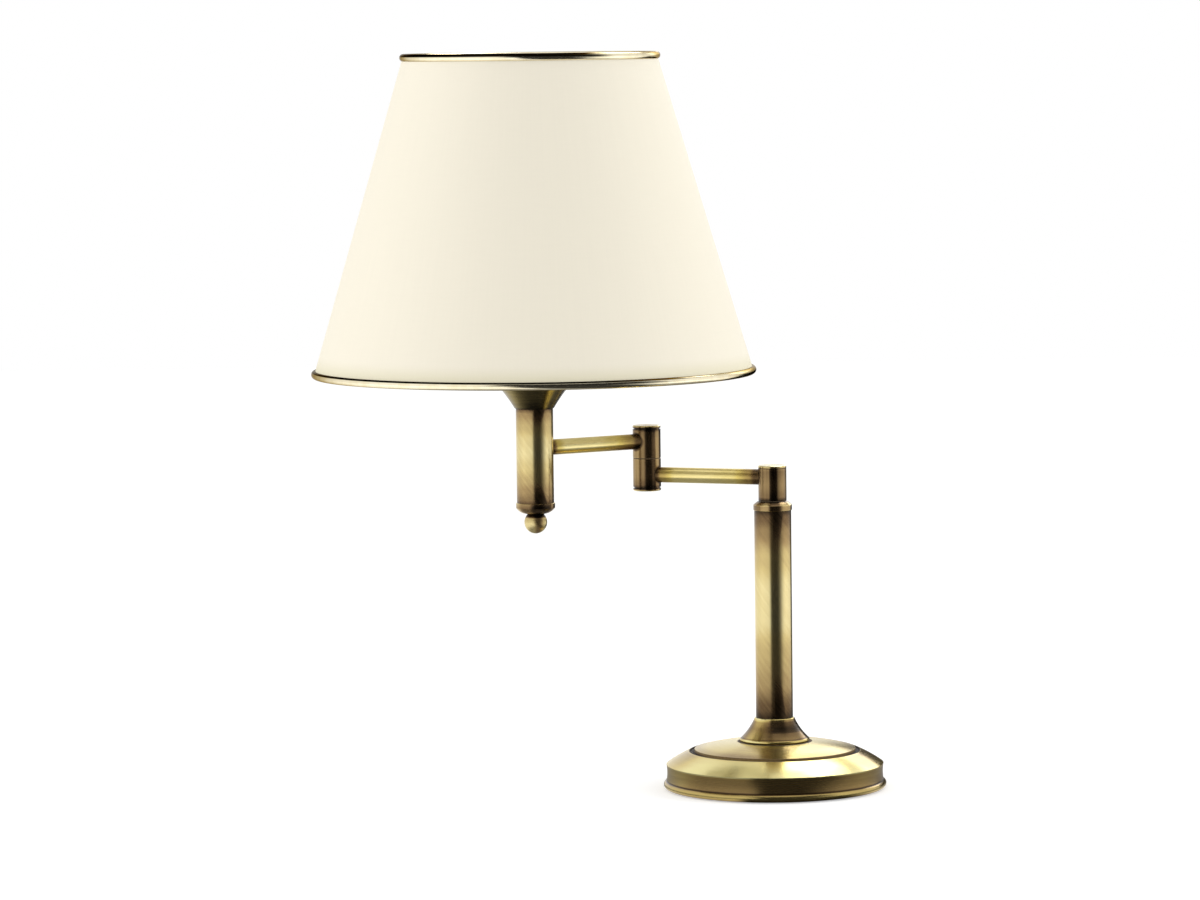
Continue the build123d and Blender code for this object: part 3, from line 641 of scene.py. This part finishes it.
def shadeCloth():
    made, wire = newFinish("creamCloth")
    spot = wire.node("TexCoord", output="Object")
    low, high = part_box("shade_cone")
    x, y, z = spot.vector("SUBTRACT", (headAxis.x, headAxis.y, low.z)).axes("XYZ")
    angle = wire.sum("ARCTAN2", x, 0 - y)

    def threads(name, detail, rough):
        perRadian, perMetre = cloth[name]
        return (angle * perRadian).joined(z * perMetre).noise(1.0, detail, rough)

    slub, weft, warp = threads("slub", 3, 0.6), threads("weft", 2, 0.5), threads("warp", 2, 0.5)
    outward = wire.node("TexCoord", output="Normal").dot(x.joined(y).vector("NORMALIZE", (0, 0, 0)))
    foot = 1 - (z / (high.z - low.z)).rise(0.0, cloth["footHeight"])
    cream = (foot * cloth["footDepth"]).mixed(cloth["outside"], cloth["foot"])
    darkAt, lightAt = cloth["shadeRange"]
    shades = slub * cloth["slubShade"] + weft * cloth["weftShade"]
    shades = shades.ramp([(darkAt, grey(cloth["threadDark"])), (lightAt, grey(1.0))])
    darkened = {"data_type": "RGBA", "blend_type": "MULTIPLY"}
    woven = wire.node("Mix", darkened, {0: 1.0, 6: cream, 7: shades}, 2)
    inner = 1 - outward.rise(-cloth["edgeTurn"], cloth["edgeTurn"])
    relief = weft * cloth["weftRelief"] + warp + slub * cloth["slubRelief"]
    closeFinish(wire, {
        "Base Color": inner.mixed(woven, cloth["lining"]),
        "Roughness": cloth["rough"] + slub * cloth["slubRough"],
        "Normal": relief.bump(cloth["depth"], cloth["relief"]),
        "Specular IOR Level": cloth["gloss"], "Sheen Weight": cloth["sheen"],
        "Sheen Roughness": cloth["sheenRough"],
    })
    return made


dress(rollSheet(), shadeCloth())

# gold bead: a painted shade line on its upper side, fading to brown and almost away on the right, and painted
# shade on its underside
goldBead = {"gold": paint(252, 242, 212), "olive": paint(243, 231, 196), "shadeLine": paint(20, 15, 7),
            "brown": paint(84, 66, 36), "edge": paint(150, 134, 88), "tint": paint(150, 132, 96),
            "soft": 7, "underShadeFrom": -62, "underShadeDepth": 0.8, "rightFade": (0.25, 0.75), "rightFadeAway": 0.85,
            "foil": 90, "foilRange": (0.35, 0.6), "polish": 0.1, "foilRough": 0.06, "shadeLineRough": 0.1}
# the painted shade line, by the angle round the bead's section, and where it fades, by the share of the
# ring's radius
topBead = {"node": "shade_top_trim", "shadeLineFrom": 10, "shadeLineTo": 110, "fade": (0.42, 0.68)}
bottomBead = {"node": "shade_bottom_trim", "shadeLineFrom": 34, "shadeLineTo": 106, "fade": (0.6, 0.82)}


def beadFinish(spec):
    node = spec["node"]
    made, wire = newFinish(node + "Gold")
    spot = wire.node("TexCoord", output="Object")
    low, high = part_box(node)
    heart = (high.x - low.x) / 2 - (high.z - low.z) / 2
    x, y, z = spot.vector("SUBTRACT", middle(node)).axes("XYZ")
    out = wire.sum("SQRT", x * x + y * y) - heart
    lean = wire.sum("ARCTAN2", z, out) * toDegrees
    soft, underShadeFrom = goldBead["soft"], goldBead["underShadeFrom"]
    # the painted shade line on the upper side of the bead
    shadeLine = lean.within(spec["shadeLineFrom"], spec["shadeLineTo"], soft)
    # painted shade on the underside of the bead
    edge = 1 - lean.rise(underShadeFrom - soft, underShadeFrom + soft)
    rightward = x / heart
    rightFade = rightward.rise(*goldBead["rightFade"])  # on the right the painted shade line fades to brown, then almost away
    shadeLine = shadeLine * (1 - rightward.rise(*spec["fade"]) * goldBead["rightFadeAway"])
    foil = spot.noise(goldBead["foil"], 3, 0.6)
    gold = foil.ramp(list(zip(goldBead["foilRange"], (goldBead["olive"], goldBead["gold"]))))
    gold = (edge * goldBead["underShadeDepth"]).mixed(gold, goldBead["edge"])
    closeFinish(wire, {
        "Base Color": shadeLine.mixed(gold, rightFade.mixed(goldBead["shadeLine"], goldBead["brown"])),
        "Metallic": 1.0,
        "Roughness": goldBead["polish"] + foil * goldBead["foilRough"] + shadeLine * goldBead["shadeLineRough"],
        "Specular Tint": goldBead["tint"],
    })
    dress(node, made)


beadFinish(topBead)
beadFinish(bottomBead)
print("shade dressed")

# plain finishes: two tones, a grain and a fine bump each, with the depth in millimetres
plainFinishes = {
    "turnedBrass": {
        "tones": ((178, 148, 92), (214, 186, 126)), "grain": 320, "rough": (0.2, 0.36), "metal": 1.0,
        "depth": 0.02, "nodes": ["head_tee", "lampholder_shell", "lampholder_contact", "bulb_tip"]},
    "whiteWire": {
        "tones": ((228, 226, 218), (240, 239, 233)), "grain": 600, "rough": (0.32, 0.5), "metal": 0.0,
        "depth": 0.03,
        "nodes": ["shade_top_hoop", "shade_bottom_hoop", "shade_fitter_ring", "shade_spokes"]},
    "zincSteel": {
        "tones": ((176, 177, 172), (206, 206, 200)), "grain": 500, "rough": (0.28, 0.45), "metal": 1.0,
        "depth": 0.02,
        "nodes": ["tie_tube", "base_nut", "base_washer", "swivel_nipple", "swivel_nut",
                  "swivel_spring_washer", "elbow_nipple", "elbow_lower_nut", "elbow_upper_nut",
                  "elbow_spring_washer", "head_nipple", "finial_stud"]},
    "brownNylon": {
        "tones": ((88, 71, 49), (104, 85, 60)), "grain": 400, "rough": (0.45, 0.6), "metal": 0.0,
        "depth": 0.01, "nodes": ["swivel_friction_washer", "elbow_friction_washer"]},
    "whitePlastic": {  # the holder's skirt and the shade rings take it too
        "tones": ((230, 228, 218), (238, 236, 228)), "grain": 240, "rough": (0.3, 0.42), "metal": 0.0,
        "depth": 0.015, "nodes": ["lampholder_cap"]},
    "barePorcelain": {
        "tones": ((232, 229, 220), (243, 241, 235)), "grain": 300, "rough": (0.5, 0.7), "metal": 0.0,
        "depth": 0.03, "nodes": ["lampholder_core"]},
    "opalGlass": {
        "tones": ((238, 236, 228), (246, 245, 240)), "grain": 90, "rough": (0.1, 0.2), "metal": 0.0,
        "depth": 0.01, "nodes": ["bulb_glass"]},
    "rolledAluminium": {
        "tones": ((196, 196, 196), (222, 222, 220)), "grain": 420, "rough": (0.25, 0.4), "metal": 1.0,
        "depth": 0.02, "nodes": ["bulb_cap"]},
    "blackGlass": {
        "tones": ((28, 28, 32), (44, 44, 48)), "grain": 300, "rough": (0.12, 0.25), "metal": 0.0,
        "depth": 0.01, "nodes": ["bulb_insulator"]},
    "castIron": {
        "tones": ((52, 52, 52), (74, 72, 70)), "grain": 220, "rough": (0.6, 0.8), "metal": 0.6,
        "depth": 0.25, "nodes": ["base_weight"]},
    "darkFelt": {  # for the felt pad
        "tones": ((40, 36, 33), (66, 60, 54)), "grain": 900, "rough": (0.85, 1.0), "metal": 0.0,
        "depth": 0.3, "nodes": []},
    "brownPlastic": {
        "tones": ((62, 45, 30), (78, 58, 40)), "grain": 350, "rough": (0.4, 0.55), "metal": 0.0,
        "depth": 0.02, "nodes": ["cord_bush"]},
    "naturalPlastic": {
        "tones": ((226, 225, 214), (238, 237, 228)), "grain": 260, "rough": (0.3, 0.45), "metal": 0.0,
        "depth": 0.02, "nodes": ["terminal_block"]},
    "softSheath": {
        "tones": ((216, 212, 198), (228, 225, 214)), "grain": 380, "rough": (0.45, 0.6), "metal": 0.0,
        "depth": 0.02, "nodes": ["lead_column", "lead_lower_arm", "lead_upper_arm"]},
}
# the broad patches are this much coarser than the grain, and both mix between the two tones
toneMix = {"patchScale": 0.12, "grain": 0.6, "patch": 0.4, "darkAt": 0.35, "lightAt": 0.65}


def plainFinish(name, spec):
    made, wire = newFinish(name)
    spot = wire.node("TexCoord", output="Object")
    grain = spot.noise(spec["grain"], 4, 0.6)
    patch = spot.noise(spec["grain"] * toneMix["patchScale"], 2, 0.5)
    mottle = grain * toneMix["grain"] + patch * toneMix["patch"]
    darker, lighter = (paint(*tone) for tone in spec["tones"])
    smooth, rough = spec["rough"]
    closeFinish(wire, {
        "Base Color": mottle.ramp([(toneMix["darkAt"], darker), (toneMix["lightAt"], lighter)]),
        "Metallic": spec["metal"],
        "Roughness": patch * (rough - smooth) + smooth,
        "Normal": grain.bump(spec["depth"] * mm),
    })
    for node in spec["nodes"]:
        dress(node, made)
    return made


finishes = {name: plainFinish(name, spec) for name, spec in plainFinishes.items()}
print("plain finishes dressed")


# turns a closed outline of (radius, z), or one from pole to pole
def turned(name, axis, outline, segments, swell):
    shape = bmesh.new()
    rings = []
    for reach, z in outline:
        if reach == 0:
            rings.append([shape.verts.new((axis.x, axis.y, z))] * segments)
            continue
        ring = []
        for step in range(segments):
            angle = 2 * math.pi * step / segments
            radius = reach + swell(angle, reach, z)
            place = (axis.x + radius * math.cos(angle), axis.y + radius * math.sin(angle), z)
            ring.append(shape.verts.new(place))
        rings.append(ring)
    pairs = list(zip(rings, rings[1:]))
    if outline[0][0]:
        pairs.append((rings[-1], rings[0]))
    for first, second in pairs:
        for i in range(segments):
            j = (i + 1) % segments
            corners = dict.fromkeys((first[i], first[j], second[j], second[i]))  # a pole is one corner
            shape.faces.new(tuple(corners))
    bmesh.ops.recalc_face_normals(shape, faces=shape.faces)
    mesh = bpy.data.meshes.new(name)
    shape.to_mesh(mesh)
    shape.free()
    return mesh


# felt pad, cut by hand: a soft edge that wanders a little
feltPad = {"edge": 0.6 * mm, "corner": 0.3, "wander": 0.35 * mm, "wanderFrom": 0.9, "dimple": 0.12 * mm,
           "middle": 0.5, "segments": 180}
padLow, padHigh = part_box("base_pad")
padReach = (padHigh.x - padLow.x) / 2


def feltWander(angle, reach, z):
    edge = max(reach / padReach - feltPad["wanderFrom"], 0) / (1 - feltPad["wanderFrom"])
    return -feltPad["wander"] * edge * (0.5 + 0.3 * math.sin(7 * angle + 1) + 0.2 * math.sin(19 * angle))


def feltOutline():  # from the dimple under the middle, round the edge, to the middle of the top
    edge, top, centre = feltPad["edge"], padHigh.z, padReach * feltPad["middle"]
    corner, calm = edge * feltPad["corner"], padReach * feltPad["wanderFrom"]
    under = [(0, feltPad["dimple"]), (centre, 0), (calm, 0), (padReach - edge, 0)]
    lower = [(padReach - corner, corner), (padReach, edge)]
    upper = [(padReach, top - edge), (padReach - corner, top - corner)]
    return under + lower + upper + [(padReach - edge, top), (centre, top), (0, top)]


padMesh = turned("feltPad", swivelAxis, feltOutline(), feltPad["segments"], feltWander)
pad = newPiece("feltPad", padMesh, "base", "base_pad")
dress(pad, finishes["darkFelt"])

# lampholder skirt with the screw thread that carries the shade rings
holderSkirt = {"bore": 15.2 * mm, "room": 16.95 * mm, "lip": 14.4 * mm, "lipFoot": 6.0 * mm,
               "lipHeight": 3.0 * mm, "bevel": 0.6 * mm, "threadFoot": 5.0 * mm, "threadEnd": 1.5 * mm,
               "pitch": 3.0 * mm, "depth": 0.9 * mm, "rowHeight": 0.375 * mm, "segments": 144}
skirtLow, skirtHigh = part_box("lampholder_skirt")
skirtReach = (skirtHigh.x - skirtLow.x) / 2
threadLow, threadHigh = skirtLow.z + holderSkirt["threadFoot"], skirtHigh.z - holderSkirt["threadEnd"]


def skirtThread(angle, reach, z):
    if reach < skirtReach or not threadLow < z < threadHigh:
        return 0
    pitch = holderSkirt["pitch"]
    turnShare = ((z - threadLow) / pitch - angle / (2 * math.pi)) % 1
    wave = min(max(1.5 - abs(turnShare - 0.5) * 4, 0), 1)  # a round thread with flat crests
    runOut = min((z - threadLow) / pitch, (threadHigh - z) / pitch, 1)
    return -holderSkirt["depth"] * wave * wave * (3 - 2 * wave) * runOut


def skirtOutline():
    bore, room, lip, bevel = (holderSkirt[key] for key in ("bore", "room", "lip", "bevel"))
    lipLow = skirtLow.z + holderSkirt["lipFoot"]
    lipHigh = lipLow + holderSkirt["lipHeight"]
    height = skirtHigh.z - skirtLow.z - 2 * bevel
    rows = int(height / holderSkirt["rowHeight"])
    wall = [(skirtReach, skirtLow.z + bevel + height * row / rows) for row in range(rows + 1)]
    foot = [(room, skirtLow.z), (skirtReach - bevel, skirtLow.z)]
    inside = [(bore, skirtHigh.z), (bore, lipHigh), (lip, lipHigh), (lip, lipLow), (room, lipLow)]
    return foot + wall + [(skirtReach - bevel, skirtHigh.z)] + inside


skirtMesh = turned("holderSkirt", headAxis, skirtOutline(), holderSkirt["segments"], skirtThread)
skirt = newPiece("holderSkirt", skirtMesh, "upper_arm", "lampholder_skirt")
dress(skirt, finishes["whitePlastic"])

# shade rings with grip ribs; the lower one has a lip
shadeRing = {"bore": 19.8 * mm, "grip": 25.0 * mm, "lipHeight": 1.5 * mm, "lipLeast": 1 * mm, "ribs": 40,
             "depth": 0.7 * mm, "narrow": 3, "near": 0.01 * mm, "steps": 8, "bevel": 0.5 * mm,
             "start": 0.25, "underLip": 0.4, "lipRound": 0.6}


def gripRibs(angle, reach, z):  # the grooves between the ribs, on the grip alone
    if abs(reach - shadeRing["grip"]) > shadeRing["near"]:
        return 0
    wave = 0.5 - 0.5 * math.cos(shadeRing["ribs"] * angle)
    return -shadeRing["depth"] * wave ** shadeRing["narrow"]


def ringOutline(low, high, lip):
    bore, grip, bevel = shadeRing["bore"], shadeRing["grip"], shadeRing["bevel"]
    start = shadeRing["start"] * bevel
    foot = [(bore, low), (grip - 2 * bevel, low), (grip - bevel, low + start), (grip, low + bevel)]
    if not lip:
        head = [(grip, high - bevel), (grip - bevel, high - start), (grip - 2 * bevel, high)]
        return foot + head + [(bore, high)]
    lipLow, lipRound = high - shadeRing["lipHeight"], shadeRing["lipRound"] * bevel
    neck = [(grip, lipLow - bevel), (grip - shadeRing["underLip"] * bevel, lipLow), (lip - bevel, lipLow)]
    rim = [(lip, lipLow + bevel), (lip, high - lipRound), (lip - lipRound, high), (bore, high)]
    return foot + neck + rim


for name, node in (("shadeRingLower", "shade_ring_lower"), ("shadeRingUpper", "shade_ring_upper")):
    ringLow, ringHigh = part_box(node)
    reach = (ringHigh.x - ringLow.x) / 2
    lip = reach if reach > shadeRing["grip"] + shadeRing["lipLeast"] else 0
    outline = ringOutline(ringLow.z, ringHigh.z, lip)
    ringMesh = turned(name, headAxis, outline, shadeRing["ribs"] * shadeRing["steps"], gripRibs)
    dress(newPiece(name, ringMesh, "upper_arm", node), finishes["whitePlastic"])
print("holder and pad made")
